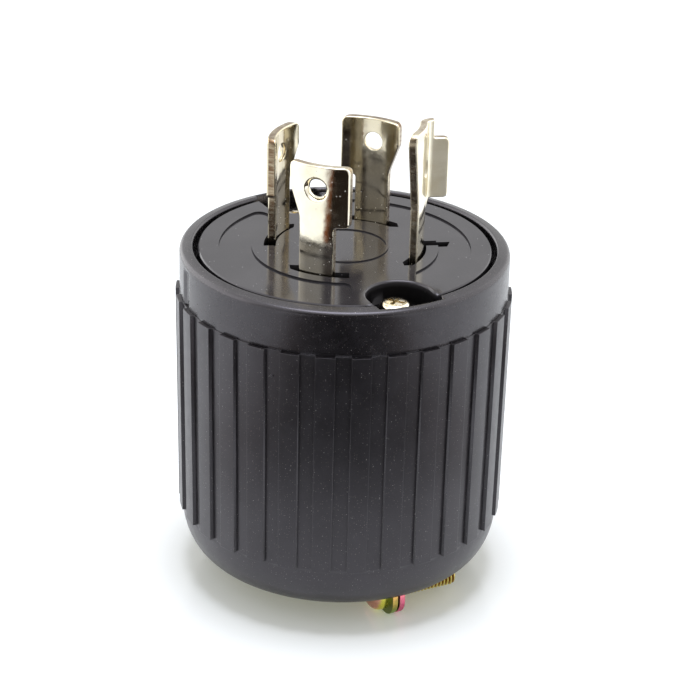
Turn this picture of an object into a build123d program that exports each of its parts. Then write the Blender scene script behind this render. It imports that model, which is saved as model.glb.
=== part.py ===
from build123d import *
from math import cos, radians, sin
import os

# A locking power plug with four curved blades, standing on its cord clamp.
# +Z runs along the plug, blades up; the origin is on its axis, at the surface it stands on.
# The two assembly screws lie on the Y axis and the cord clamp's screws run along X.

# Overall sizes
clamp_proud = 4.3
body_length = 58.3
rim_top = clamp_proud + body_length
overrun = 1.0
slack = 0.1
face_gap = 0.3

# Collar
collar_radius = 28.85
collar_height = 8.4
rim_wall = 2.4
rim_outer_round = 0.8
rim_inner_round = 0.3
ledge_width = 1.85
spigot_gap = 0.15
spigot_depth = 2.9
mark_angle = 176.0
mark_width = 2.6
mark_depth = 0.6

# Face plate
face_recess = 0.45
disc_gap = 0.85
disc_edge_chamfer = 0.2
well_radius = 5.7
well_shift = 1.6
well_lip_round = 0.5
well_floor_thickness = 1.2
panel_margin = 3.6
panel_width = 5.7
panel_depth = 0.3
panel_corner = 1.6
panel_half_span = 69.5
ring_radius = 7.4
ring_width = 0.4
ring_height = 0.2

# Assembly screws, on the Y axis
screw_margin = 5.45
screw_shank_radius = 1.75
screw_head_radius = 2.85
screw_head_height = 2.0
screw_head_depth = 2.3
screw_length = 20.0
screw_clearance = 0.2
insert_outer_radius = 2.9
insert_length = 8.0
thread_gap = 0.05

# Blades
blade_inner_radius = 12.25
blade_thickness = 1.5
blade_reach = 19.0
blade_head_left = 5.5
blade_head_right = 5.35
blade_corner = 1.2
blade_hook_corner = 0.8
blade_inner_corner = 0.6
blade_neck_left = 3.4
blade_neck_right = 2.9
hook_reach = 8.2
flare_top_reach = 15.0
flare_bottom_reach = 9.5
hole_radius = 2.2
hole_offset = 0.3
hole_reach = 14.8
blade_edge_chamfer = 0.35
shoulder_half_angle = 28.0
shoulder_height = 2.2
tab_half_width = 4.0

# Ground blade, longer, with a flange folded outward
ground_reach = 22.7
ground_half_neck = 2.7
ground_head_left = 4.5
ground_flare_reach = 9.0
ground_corner = 2.0
ground_slant_right = 4.6
ground_slant_reach = 5.0
flange_bottom_reach = 8.5
flange_top_reach = 19.5
flange_outer_radius = 17.55
flange_angle = 20.2
flange_corner = 1.0
bend_outer_radius = 14.9
bend_round = 1.1
ground_hole_offset = 2.0
ground_hole_reach = 14.4

# Blade slots in the face
slot_inner_radius = 12.05
slot_outer_radius = 14.2
slot_tip_angle = 25.5
slot_lead_angle = 20.0
slot_square_angle = 24.2
ground_slot_tip = 25.1
ground_slot_lead = 20.5
ground_slot_end = 25.7
branch_angle = 21.4
branch_width = 2.1
branch_outer_radius = 17.9
branch_tip = 0.8

# Places around the axis, in degrees from +X, counter-clockwise seen from the blades
line_x_angle = 225.0
line_y_angle = 45.0
neutral_angle = 135.0
ground_angle = 321.75
screw_angles = (90.0, 270.0)

# Terminal carrier and insulating disc
carrier_flange_gap = 0.25
carrier_flange_thickness = 1.8
carrier_slab_thickness = 3.6
carrier_wall = 2.0
carrier_wall_reach = 23.5
carrier_hub_radius = 7.0
pillar_radius = 3.9
pillar_length = 6.4
divider_gap = 0.5
disc_thickness = 1.0
disc_edge_room = 1.9
stake_radius = 2.5
stake_length = 2.2
wire_hole_radius = 3.6

# Terminals
cage_height = 7.1
cage_wall = 1.2
cage_side_wall = 1.0
cage_side_gap = 0.1
cage_room = 5.1
plate_thickness = 1.0
plate_setback = 3.4
plate_edge_gap = 0.5
terminal_shank_radius = 2.0
terminal_head_radius = 3.5
terminal_head_height = 2.4
terminal_head_standoff = 0.4
recess_depth_share = 0.55
recess_width_share = 0.26
recess_reach_share = 0.68

# Rear housing
seam_step = 0.05
body_draft = 0.35
rib_depth = 0.65
rib_count = 30
rib_angle = 6.5
rib_bottom = 13.2
rib_root = 0.5
corner_height = 8.3
corner_width = 5.6
wall_thickness = 2.65
socket_step = 0.8
socket_depth = 3.0
inner_corner_height = 6.0
inner_corner_width = 5.4
recess_wall = 3.45
recess_half_width = 17.0
recess_ceiling = 7.4
floor_thickness = 2.8
opening_half_x = 13.5
opening_half_y = 12.5
opening_corner = 3.0
boss_radius = 4.2
boss_web = 4.0
boss_start = 5.0
pip_angle = 221.6
pip_drop = 13.2
pip_radius = 0.28

# Cord grommet and its ledge
ledge_height = 3.0
ledge_thickness = 2.0
ledge_inner_width = 8.3
grommet_hole_radius = 6.5
grommet_web = 1.6
grommet_flange_width = 1.9
grommet_flange_thickness = 1.2
grommet_collar_radius = 9.0
grommet_collar_height = 4.0

# Cord clamp, closed and turned a little in its recess
clamp_turn = 2.0
clamp_gap = 0.3
clamp_thickness = 1.1
clamp_ear_margin = 5.2
clamp_screw_height = 3.6
clamp_ear_round = 3.4
saddle_half_chord = 9.5
saddle_bulge = 6.0
clamp_tab_reach = 15.5
clamp_tab_height = 1.4
clamp_neck_reach = 12.0
clamp_floor_gap = 0.2
clamp_shank_radius = 2.0
clamp_head_radius = 3.5
clamp_head_height = 2.5
clamp_head_round = 1.9
clamp_shank_end = 13.3
clamp_hole_gap = 0.15

# Heights that follow from the sizes above
rim_inner_radius = collar_radius - rim_wall
disc_radius = rim_inner_radius - disc_gap
ledge_inner_radius = rim_inner_radius - ledge_width
carrier_radius = ledge_inner_radius - face_gap
carrier_flange_radius = rim_inner_radius - carrier_flange_gap
screw_circle_radius = rim_inner_radius - screw_margin
well_centre_radius = screw_circle_radius + well_shift
panel_outer_radius = disc_radius - panel_margin
panel_inner_radius = panel_outer_radius - panel_width
groove_top_radius = collar_radius + seam_step
groove_low_radius = groove_top_radius - body_draft
housing_bore_radius = groove_low_radius - wall_thickness
socket_radius = housing_bore_radius + socket_step
spigot_outer_radius = socket_radius - spigot_gap
insulating_disc_radius = housing_bore_radius - disc_edge_room
cage_outer_radius = housing_bore_radius - cage_room
plate_inner_radius = cage_outer_radius - plate_setback
ledge_hole_radius = housing_bore_radius - ledge_inner_width
grommet_flange_radius = ledge_hole_radius + grommet_flange_width
recess_radius = groove_low_radius - recess_wall
clamp_ear_reach = recess_radius - face_gap
clamp_screw_place = clamp_ear_reach - clamp_ear_margin
face_top = rim_top - face_recess
seam = rim_top - collar_height
head_top = rim_top - screw_head_depth
head_seat = head_top - screw_head_height
plate_bottom = head_seat - well_floor_thickness
ledge_top = plate_bottom - carrier_flange_thickness
slab_bottom = plate_bottom - carrier_slab_thickness
shoulder_bottom = slab_bottom - shoulder_height
cage_top = shoulder_bottom
cage_bottom = cage_top - cage_height
divider_bottom = cage_bottom
boss_top = slab_bottom - pillar_length
terminal_height = (cage_top + cage_bottom) / 2
floor_top = recess_ceiling + floor_thickness
clamp_ear_top = recess_ceiling
ledge_bottom = floor_top + ledge_height
boss_bottom = ledge_bottom + boss_start
blade_outer_radius = blade_inner_radius + blade_thickness
upright = (Align.CENTER, Align.CENTER, Align.MIN)


def polar(radius, angle):
    return (radius * cos(radians(angle)), radius * sin(radians(angle)))


def column(radius, low, high, place=(0, 0)):
    return Pos(*place, low) * Cylinder(radius, high - low, align=upright)


def tube(outer, inner, low, high):
    return column(outer, low, high) - column(inner, low - overrun, high + overrun)


def block(size_x, size_y, low, high, place=(0, 0)):
    return Pos(*place, low) * Box(size_x, size_y, high - low, align=upright)


def span_block(x_low, x_high, size_y, low, high):
    return block(x_high - x_low, size_y, low, high, ((x_low + x_high) / 2, 0))


def rod(radius, start, end, height, y_place=0.0):
    # A round bar along X, from start to end
    place = Pos(start, y_place, height) * Rot(0, 90, 0)
    return place * Cylinder(radius, end - start, align=upright)


def turned(shape, angle):
    return Rot(0, 0, angle) * shape


def raised(sketch, low, high):
    return Pos(0, 0, low) * extrude(sketch, high - low)


def arc_strip(inner, outer, start, end):
    # A flat ring sector between two radii and two angles
    sides = [
        CenterArc((0, 0), outer, start, end - start),
        Line(polar(outer, end), polar(inner, end)),
        CenterArc((0, 0), inner, end, start - end),
        Line(polar(inner, start), polar(outer, start)),
    ]
    return make_face(sides)


def pointed_strip(inner, outer, tip, lead, end):
    # A ring sector whose clockwise end narrows to a point
    middle = (inner + outer) / 2
    sides = [
        CenterArc((0, 0), outer, lead, end - lead),
        Line(polar(outer, end), polar(inner, end)),
        CenterArc((0, 0), inner, end, lead - end),
        Line(polar(inner, lead), polar(middle, tip)),
        Line(polar(middle, tip), polar(outer, lead)),
    ]
    return make_face(sides)


def line_slot():
    return pointed_strip(
        slot_inner_radius, slot_outer_radius, -slot_tip_angle, -slot_lead_angle, slot_square_angle
    )


def ground_slot():
    strip = pointed_strip(
        slot_inner_radius, slot_outer_radius, -ground_slot_tip, -ground_slot_lead, ground_slot_end
    )
    start = (slot_inner_radius + slot_outer_radius) / 2
    half = branch_width / 2
    branch = make_face(
        Polyline(
            (start, -half),
            (branch_outer_radius, -half),
            (branch_outer_radius + branch_tip, half),
            (start, half),
            close=True,
        )
    )
    return strip + Rot(0, 0, branch_angle) * branch


def blade_slots(low, high):
    cut = turned(raised(ground_slot(), low, high), ground_angle)
    for angle in (line_x_angle, line_y_angle, neutral_angle):
        cut += turned(raised(line_slot(), low, high), angle)
    return cut


def cross_recess(radius, height):
    # Cutting tool for a cross recess in a head whose top is at zero, pointing up
    depth = height * recess_depth_share
    width = radius * recess_width_share
    reach = radius * recess_reach_share
    bar = Box(reach * 2, width, depth + overrun, align=upright)
    return Pos(0, 0, -depth) * (bar + Rot(0, 0, 90) * bar)


def pan_screw(head_radius, head_height, round_size, shank_radius, shank_length):
    # A pan head screw along +Z with its head's underside at zero
    head = Cylinder(head_radius, head_height, align=upright)
    head = fillet(head.edges().group_by(Axis.Z)[-1], round_size)
    head -= Pos(0, 0, head_height) * cross_recess(head_radius, head_height)
    return head + Pos(0, 0, -shank_length) * Cylinder(shank_radius, shank_length, align=upright)


def face_plate():
    plate = column(collar_radius, plate_bottom, face_top)
    well = column(well_radius, head_seat, face_top + overrun, (well_centre_radius, 0))
    well_end = collar_radius + overrun
    well += span_block(well_centre_radius, well_end, well_radius * 2, head_seat, face_top + overrun)
    for angle in screw_angles:
        plate -= turned(well, angle)
    lips = [
        edge
        for edge in plate.edges().group_by(Axis.Z)[-1]
        if edge.geom_type != GeomType.CIRCLE or edge.radius < disc_radius / 2
    ]
    plate = fillet(lips, well_lip_round)
    rim = column(disc_radius, plate_bottom, face_top)
    plate &= chamfer(rim.edges().group_by(Axis.Z)[-1], disc_edge_chamfer)
    hole = screw_shank_radius + screw_clearance
    for angle in screw_angles:
        place = polar(screw_circle_radius, angle)
        plate -= column(hole, plate_bottom - overrun, head_seat + overrun, place)
    plate -= blade_slots(plate_bottom - overrun, face_top + overrun)
    panel = arc_strip(panel_inner_radius, panel_outer_radius, -panel_half_span, panel_half_span)
    panel = fillet(panel.vertices(), panel_corner)
    recess = raised(panel, face_top - panel_depth, face_top + overrun)
    plate -= recess
    plate -= turned(recess, 180)
    outer = ring_radius + ring_width / 2
    plate += tube(outer, outer - ring_width, face_top - slack, face_top + ring_height)
    return plate


def front_collar():
    collar = column(collar_radius, seam, rim_top)
    collar = fillet(collar.edges().group_by(Axis.Z)[-1], rim_outer_round)
    bore = column(rim_inner_radius, ledge_top, rim_top + overrun)
    collar -= bore
    collar += column(spigot_outer_radius, seam - spigot_depth, seam)
    collar -= column(ledge_inner_radius, seam - spigot_depth - overrun, rim_top)
    inner_edge = [
        edge
        for edge in collar.edges().filter_by(GeomType.CIRCLE).group_by(Axis.Z)[-1]
        if edge.radius < rim_inner_radius + slack
    ]
    collar = fillet(inner_edge, rim_inner_round)
    mark = span_block(
        collar_radius - mark_depth, collar_radius + overrun, mark_width, seam, rim_top + overrun
    )
    return collar - turned(mark, mark_angle)


def terminal_carrier():
    carrier = column(carrier_flange_radius, ledge_top, plate_bottom)
    carrier += column(carrier_radius, slab_bottom, plate_bottom)
    wall_top = slab_bottom + slack
    across = block(carrier_wall_reach * 2, carrier_wall, divider_bottom, wall_top)
    along_reach = screw_circle_radius - boss_radius - divider_gap
    along = block(carrier_wall, along_reach * 2, divider_bottom, wall_top)
    hub = column(carrier_hub_radius, divider_bottom, wall_top)
    stake = column(stake_radius, divider_bottom - stake_length, divider_bottom + slack)
    carrier += across + along + hub + stake
    rim = column(carrier_radius, boss_top, plate_bottom)
    hole = screw_shank_radius + screw_clearance
    for angle in screw_angles:
        place = polar(screw_circle_radius, angle)
        pillar = column(pillar_radius, boss_top, wall_top, place)
        carrier += pillar & rim
        carrier -= column(hole, boss_top - overrun, plate_bottom + overrun, place)
    return carrier - blade_slots(slab_bottom - slack, plate_bottom + overrun)


def insulating_disc():
    top = divider_bottom
    disc = column(insulating_disc_radius, top - disc_thickness, top)
    disc -= column(stake_radius + thread_gap, top - disc_thickness - overrun, top + overrun)
    for angle in screw_angles:
        place = polar(screw_circle_radius, angle)
        disc -= column(boss_radius + divider_gap, top - disc_thickness - overrun, top + overrun, place)
    middle = (blade_outer_radius + plate_inner_radius) / 2
    for angle in (line_x_angle, line_y_angle, neutral_angle, ground_angle):
        place = polar(middle, angle)
        disc -= column(wire_hole_radius, top - disc_thickness - overrun, top + overrun, place)
    return disc


def blade_band(low, high):
    # The curved strip that the blade is pressed from, about the plug's axis
    return tube(blade_outer_radius, blade_inner_radius, low, high)


def blade_foot():
    # Shoulders under the carrier and a flat tab for the terminal
    shoulder = raised(
        arc_strip(blade_inner_radius, blade_outer_radius, -shoulder_half_angle, shoulder_half_angle),
        shoulder_bottom,
        slab_bottom,
    )
    tab = span_block(
        blade_inner_radius, blade_outer_radius, tab_half_width * 2, cage_bottom, shoulder_bottom + slack
    )
    return shoulder + tab


def profile_through(face):
    # Pushes a face drawn in width and height outward through the blade
    return extrude(Plane.YZ * face, blade_outer_radius + overrun)


def eased_top(blade, height):
    edges = [
        edge
        for edge in blade.edges().group_by(Axis.Z)[-1]
        if edge.geom_type == GeomType.CIRCLE and abs(edge.center().Z - height) < slack
    ]
    return chamfer(edges, blade_edge_chamfer)


def line_blade():
    top = rim_top + blade_reach
    outline = Polyline(
        (-blade_neck_left, shoulder_bottom),
        (-blade_neck_left, rim_top + flare_bottom_reach),
        (-blade_head_left, rim_top + flare_top_reach),
        (-blade_head_left, top),
        (blade_head_right, top),
        (blade_head_right, rim_top + hook_reach),
        (blade_neck_right, rim_top + hook_reach),
        (blade_neck_right, shoulder_bottom),
        close=True,
    )
    face = make_face(outline)
    tops = [v for v in face.vertices() if v.Y > top - slack]
    face = fillet(tops, blade_corner)
    hook = [v for v in face.vertices() if abs(v.Y - rim_top - hook_reach) < slack]
    hook.sort(key=lambda v: v.X)
    face = fillet(hook[0], blade_inner_corner)
    right = [v for v in face.vertices() if v.X > blade_head_right - slack]
    face = fillet(min(right, key=lambda v: v.Y), blade_hook_corner)
    face -= Pos(-hole_offset, rim_top + hole_reach) * Circle(hole_radius)
    blade = profile_through(face) & blade_band(shoulder_bottom, top)
    return eased_top(blade, top) + blade_foot()


def folded_strip(low, high):
    # The curved strip with its edge folded outward, at its full height
    strip = arc_strip(blade_inner_radius, blade_outer_radius, -shoulder_half_angle, flange_angle)
    fold = span_block(blade_inner_radius, bend_outer_radius, blade_thickness, low, high)
    folded = raised(strip, low, high) + turned(fold, flange_angle)
    half = blade_thickness / 2
    middle = (low + high) / 2
    hollow = turned(Vertex(blade_outer_radius, -half, middle), flange_angle)
    heel = turned(Vertex(blade_inner_radius, half, middle), flange_angle)
    for corner in (hollow, heel):
        folded = fillet(folded.edges().filter_by(Axis.Z).sort_by_distance(corner)[0], bend_round)
    return folded


def ground_blade():
    top = rim_top + ground_reach
    fold_bottom = rim_top + flange_bottom_reach
    outline = Polyline(
        (-ground_half_neck, shoulder_bottom),
        (-ground_half_neck, rim_top + ground_flare_reach),
        (-ground_head_left, top),
        (blade_outer_radius, top),
        (blade_outer_radius, fold_bottom),
        (ground_slant_right, fold_bottom),
        (ground_half_neck, rim_top + ground_slant_reach),
        (ground_half_neck, shoulder_bottom),
        close=True,
    )
    face = make_face(outline)
    corner = [v for v in face.vertices() if v.Y > top - slack and v.X < 0]
    face = fillet(corner, ground_corner)
    face -= Pos(ground_hole_offset, rim_top + ground_hole_reach) * Circle(hole_radius)
    profile = extrude(Plane.YZ * face, bend_outer_radius + overrun)
    blade = profile & folded_strip(shoulder_bottom, top)
    flange_top = rim_top + flange_top_reach
    flange = span_block(
        bend_outer_radius - slack, flange_outer_radius, blade_thickness, fold_bottom, flange_top
    )
    corners = flange.edges().filter_by(Axis.Y).sort_by(Axis.X)[-2:]
    flange = fillet(corners, flange_corner)
    return blade + turned(flange, flange_angle) + blade_foot()


def terminal_cage():
    inner_wall = blade_inner_radius - cage_wall
    side = (tab_half_width + cage_side_gap) * 2
    cage = span_block(inner_wall, cage_outer_radius, side + cage_side_wall * 2, cage_bottom, cage_top)
    cage -= span_block(
        blade_inner_radius, cage_outer_radius - cage_wall, side, cage_bottom - overrun, cage_top + overrun
    )
    wall_start = cage_outer_radius - cage_wall - overrun
    tapped = rod(terminal_shank_radius + thread_gap, wall_start, cage_outer_radius + overrun, terminal_height)
    return cage - tapped


def pressure_plate():
    half = tab_half_width - plate_edge_gap / 2
    return span_block(
        plate_inner_radius,
        plate_inner_radius + plate_thickness,
        half * 2,
        cage_bottom + plate_edge_gap,
        cage_top - plate_edge_gap,
    )


def terminal_screw():
    tip = plate_inner_radius + plate_thickness
    seat = cage_outer_radius + terminal_head_standoff
    screw = pan_screw(
        terminal_head_radius,
        terminal_head_height,
        terminal_head_height * recess_width_share,
        terminal_shank_radius,
        seat - tip,
    )
    return Pos(seat, 0, terminal_height) * Rot(0, 90, 0) * screw


def assembly_screws():
    screw = pan_screw(
        screw_head_radius,
        screw_head_height,
        screw_head_height * recess_depth_share,
        screw_shank_radius,
        screw_length,
    )
    return [Pos(*polar(screw_circle_radius, angle), head_seat) * screw for angle in screw_angles]


def threaded_inserts():
    inserts = []
    for angle in screw_angles:
        place = polar(screw_circle_radius, angle)
        insert = column(insert_outer_radius, boss_top - insert_length, boss_top, place)
        bore = screw_shank_radius + thread_gap
        inserts.append(insert - column(bore, boss_top - insert_length - overrun, boss_top + overrun, place))
    return inserts


def shell_profile(low_radius, top_radius, low, corner_wide, corner_high, high):
    # Half section of a cup with an elliptical lower corner and a wall that widens upward
    flat = low_radius - corner_wide
    knee = low + corner_high
    sides = [
        Line((0, low), (flat, low)),
        EllipticalCenterArc((flat, knee), corner_wide, corner_high, 270, arc_size=90),
        Line((low_radius, knee), (top_radius, high)),
        Line((top_radius, high), (0, high)),
        Line((0, high), (0, low)),
    ]
    return revolve(Plane.XZ * make_face(sides), Axis.Z)


def ribs():
    sketch = Sketch()
    step = 360 / rib_count
    rib_reach = groove_top_radius + rib_depth + overrun
    for index in range(rib_count):
        centre = step * (index + 1 / 2) + screw_angles[0]
        sketch += arc_strip(
            groove_low_radius - rib_root, rib_reach, centre - rib_angle / 2, centre + rib_angle / 2
        )
    limit = Pos(0, 0, rib_bottom) * Cone(
        groove_low_radius + rib_depth, groove_top_radius + rib_depth, seam - rib_bottom, align=upright
    )
    return raised(sketch, rib_bottom, seam) & limit


def clamp_recess():
    room = column(recess_radius, clamp_proud - overrun, recess_ceiling)
    return room & block(
        recess_half_width * 2, recess_radius * 2, clamp_proud - overrun, recess_ceiling
    )


def cord_opening():
    sketch = RectangleRounded(opening_half_x * 2, opening_half_y * 2, opening_corner)
    return raised(sketch, recess_ceiling - overrun, floor_top + overrun)


def rear_housing():
    housing = shell_profile(
        groove_low_radius, groove_top_radius, clamp_proud, corner_width, corner_height, seam
    )
    housing += ribs()
    housing -= shell_profile(
        housing_bore_radius,
        housing_bore_radius,
        floor_top,
        inner_corner_width,
        inner_corner_height,
        seam + overrun,
    )
    housing -= column(socket_radius, seam - socket_depth, seam + overrun)
    housing -= clamp_recess()
    housing -= cord_opening()
    housing += tube(
        housing_bore_radius + rib_root, ledge_hole_radius, ledge_bottom, ledge_bottom + ledge_thickness
    )
    web_length = housing_bore_radius + rib_root - screw_circle_radius
    web_place = screw_circle_radius + web_length / 2
    for angle in screw_angles:
        boss = column(boss_radius, boss_bottom, boss_top, (screw_circle_radius, 0))
        boss += block(web_length, boss_web, boss_bottom, boss_top, (web_place, 0))
        place = (screw_circle_radius, 0)
        boss -= column(insert_outer_radius, boss_top - insert_length, boss_top + overrun, place)
        tip = head_seat - screw_length - overrun
        boss -= column(screw_shank_radius + screw_clearance, tip, boss_top, place)
        housing += turned(boss, angle)
    pip = Pos(groove_top_radius, 0, rim_top - pip_drop) * Sphere(pip_radius)
    return housing + turned(pip, pip_angle)


def cord_grommet():
    flange = grommet_flange_thickness
    groove_low = ledge_bottom - slack
    groove_high = ledge_bottom + ledge_thickness + slack
    grommet = column(grommet_flange_radius, groove_low - flange / 2, groove_low)
    grommet += column(ledge_hole_radius - face_gap, groove_low, groove_high)
    grommet += column(grommet_flange_radius - divider_gap * 2, groove_high, groove_high + flange)
    web_low = groove_high + flange - grommet_web
    cup = column(ledge_hole_radius - face_gap * 2 - flange, groove_low - flange, web_low)
    grommet -= cup
    collar_top = web_low + grommet_collar_height
    grommet += column(grommet_collar_radius, web_low, collar_top)
    return grommet - column(grommet_hole_radius, groove_low - flange, collar_top + overrun)


def clamp_half():
    # One stamped strap of the cord clamp: its flat inner face lies at x zero, its saddle bulges to -X
    top = floor_top + clamp_floor_gap + clamp_tab_height
    radius = (saddle_half_chord ** 2 + saddle_bulge ** 2) / (2 * saddle_bulge)
    centre = radius - saddle_bulge - clamp_thickness / 2
    saddle = Pos(centre, 0, 0) * tube(radius + clamp_thickness / 2, radius - clamp_thickness / 2, 0, top)
    saddle &= span_block(-radius * 2, 0, radius * 4, 0, top)
    inner = saddle_half_chord - clamp_thickness
    ear_face = make_face(
        Polyline(
            (inner, 0),
            (clamp_ear_reach, 0),
            (clamp_ear_reach, clamp_ear_top),
            (clamp_neck_reach, clamp_ear_top),
            (clamp_neck_reach, floor_top + clamp_floor_gap),
            (clamp_tab_reach, floor_top + clamp_floor_gap),
            (clamp_tab_reach, top),
            (inner, top),
            close=True,
        )
    )
    ends = [v for v in ear_face.vertices() if v.X > clamp_ear_reach - slack]
    ear_face = fillet(ends, clamp_ear_round)
    arm = extrude(Plane.YZ * ear_face, -clamp_thickness)
    return saddle + arm + mirror(arm, Plane.XZ)


def drilled_clamp(half, hole):
    for side in (-1, 1):
        place = side * clamp_screw_place
        half -= rod(hole, -clamp_thickness - overrun, overrun, clamp_screw_height, place)
    return half


def cord_clamp_left():
    half = drilled_clamp(clamp_half(), clamp_shank_radius + clamp_hole_gap)
    return turned(Pos(-clamp_gap / 2, 0, 0) * half, clamp_turn)


def cord_clamp_right():
    half = drilled_clamp(clamp_half(), clamp_shank_radius + thread_gap)
    return turned(Pos(clamp_gap / 2, 0, 0) * mirror(half, Plane.YZ), clamp_turn)


def clamp_screws():
    seat = -clamp_gap / 2 - clamp_thickness
    screw = pan_screw(
        clamp_head_radius, clamp_head_height, clamp_head_round, clamp_shank_radius, clamp_shank_end - seat
    )
    return [
        turned(Pos(seat, side * clamp_screw_place, clamp_screw_height) * Rot(0, -90, 0) * screw, clamp_turn)
        for side in (-1, 1)
    ]


def save(name, shapes):
    solids = shapes if isinstance(shapes, list) else [shapes]
    bodies = [solid for shape in solids for solid in shape.solids()]
    shape = bodies[0] if len(bodies) == 1 else Compound(children=bodies)
    shape.label = name
    export_step(shape, os.path.join("parts", name + ".step"))


os.makedirs("parts", exist_ok=True)
save("face_plate", face_plate())
save("front_collar", front_collar())
save("terminal_carrier", terminal_carrier())
save("insulating_disc", insulating_disc())
save("rear_housing", rear_housing())
save("cord_grommet", cord_grommet())
save("line_blade_x", turned(line_blade(), line_x_angle))
save("line_blade_y", turned(line_blade(), line_y_angle))
save("neutral_blade", turned(line_blade(), neutral_angle))
save("ground_blade", turned(ground_blade(), ground_angle))
terminals = {"x": line_x_angle, "y": line_y_angle, "neutral": neutral_angle, "ground": ground_angle}
for terminal, angle in terminals.items():
    save("terminal_cage_" + terminal, turned(terminal_cage(), angle))
    save("pressure_plate_" + terminal, turned(pressure_plate(), angle))
save("line_terminal_screws", [turned(terminal_screw(), angle) for angle in (line_x_angle, line_y_angle)])
save("neutral_terminal_screw", turned(terminal_screw(), neutral_angle))
save("ground_terminal_screw", turned(terminal_screw(), ground_angle))
save("assembly_screws", assembly_screws())
save("threaded_inserts", threaded_inserts())
save("cord_clamp_left", cord_clamp_left())
save("cord_clamp_right", cord_clamp_right())
save("clamp_screws", clamp_screws())
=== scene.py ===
from math import asin, atan2, cos, pi, radians, sin, sqrt

import bmesh
import bpy
from mathutils import Matrix, Vector


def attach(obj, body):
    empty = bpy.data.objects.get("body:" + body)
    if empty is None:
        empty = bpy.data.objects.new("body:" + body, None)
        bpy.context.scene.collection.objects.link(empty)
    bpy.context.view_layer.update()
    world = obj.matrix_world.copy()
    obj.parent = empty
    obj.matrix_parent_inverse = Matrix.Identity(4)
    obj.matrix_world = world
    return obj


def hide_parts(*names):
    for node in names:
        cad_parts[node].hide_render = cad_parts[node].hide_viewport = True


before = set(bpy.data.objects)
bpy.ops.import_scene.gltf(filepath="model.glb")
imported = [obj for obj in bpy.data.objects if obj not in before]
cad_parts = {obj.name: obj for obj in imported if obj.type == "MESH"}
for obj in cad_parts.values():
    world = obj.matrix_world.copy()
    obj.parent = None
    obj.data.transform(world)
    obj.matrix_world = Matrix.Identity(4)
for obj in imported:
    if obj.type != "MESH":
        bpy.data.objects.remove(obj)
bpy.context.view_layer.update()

mm = 0.001
stageScene = bpy.context.scene
stageScene.view_settings.view_transform = "Standard"


def tint(red, green, blue):
    return (red, green, blue, 1.0)


def addPiece(name, data):
    piece = bpy.data.objects.new(name, data)
    stageScene.collection.objects.link(piece)
    return piece


def turned(x, y, degrees):
    # A point turned about the origin
    turn = radians(degrees)
    return x * cos(turn) - y * sin(turn), x * sin(turn) + y * cos(turn)


def addNode(tree, kind, inputs=None, **settings):
    node = tree.nodes.new(kind)
    for name, value in settings.items():
        setattr(node, name, value)
    for name, value in (inputs or {}).items():
        socket = node.inputs[name]
        if isinstance(value, bpy.types.NodeSocket):
            tree.links.new(value, socket)
        else:
            socket.default_value = value
    return node


def maths(tree, operation, first, second=0.0, third=0.0):
    inputs = {0: first, 1: second, 2: third}
    return addNode(tree, "ShaderNodeMath", inputs, operation=operation).outputs[0]


def remap(tree, value, low, high, first=0.0, last=1.0, soft=False):
    # Carries low..high to first..last, in a straight line or eased at both ends
    sizes = {"Value": value, "From Min": low, "From Max": high, "To Min": first, "To Max": last}
    kind = "SMOOTHSTEP" if soft else "LINEAR"
    return addNode(tree, "ShaderNodeMapRange", sizes, interpolation_type=kind).outputs["Result"]


def dot(tree, first, second):
    node = addNode(tree, "ShaderNodeVectorMath", {0: first, 1: second}, operation="DOT_PRODUCT")
    return node.outputs["Value"]


def placePart(tree, axis):
    # One coordinate of the point in the piece's own space, in metres
    place = addNode(tree, "ShaderNodeTexCoord").outputs["Object"]
    return addNode(tree, "ShaderNodeSeparateXYZ", {0: place}).outputs[axis]


def facingPart(tree, axis):
    facing = addNode(tree, "ShaderNodeNewGeometry").outputs["Normal"]
    return addNode(tree, "ShaderNodeSeparateXYZ", {0: facing}).outputs[axis]


def greyRamp(tree, factor, stops):
    # Two stops, each a place and a grey
    node = addNode(tree, "ShaderNodeValToRGB", {"Fac": factor})
    for point, (place, grey) in zip(node.color_ramp.elements, stops):
        point.position = place
        point.color = tint(grey, grey, grey)
    return node.outputs["Color"]


def noise(tree, scale, detail=2.0, roughness=0.5, distortion=0.0, stretch=(1, 1, 1)):
    # Noise on Object coordinates: scale is in waves per metre
    place = addNode(tree, "ShaderNodeTexCoord").outputs["Object"]
    if stretch != (1, 1, 1):
        place = addNode(tree, "ShaderNodeMapping", {"Vector": place, "Scale": stretch}).outputs[0]
    sizes = {"Vector": place, "Scale": scale, "Detail": detail, "Roughness": roughness,
             "Distortion": distortion}
    return addNode(tree, "ShaderNodeTexNoise", sizes).outputs["Fac"]


def specks(tree, scale, size, share, seedShift=0.0):
    # Sparse dots: 1 inside a dot and 0 outside
    place = addNode(tree, "ShaderNodeTexCoord").outputs["Object"]
    shifted = addNode(tree, "ShaderNodeMapping",
                      {"Vector": place, "Location": (seedShift, seedShift, seedShift)}).outputs[0]
    cells = addNode(tree, "ShaderNodeTexVoronoi", {"Vector": shifted, "Scale": scale})
    near = maths(tree, "LESS_THAN", cells.outputs["Distance"], size)
    split = addNode(tree, "ShaderNodeSeparateColor", {"Color": cells.outputs["Color"]})
    chosen = maths(tree, "LESS_THAN", split.outputs[0], share)
    return maths(tree, "MULTIPLY", near, chosen)


def mixColour(tree, factor, first, second, blend="MIX"):
    node = addNode(tree, "ShaderNodeMix", data_type="RGBA", blend_type=blend)
    for socket, value in ((node.inputs[0], factor), (node.inputs[6], first), (node.inputs[7], second)):
        if isinstance(value, bpy.types.NodeSocket):
            tree.links.new(value, socket)
        else:
            socket.default_value = value
    return node.outputs[2]


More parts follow.
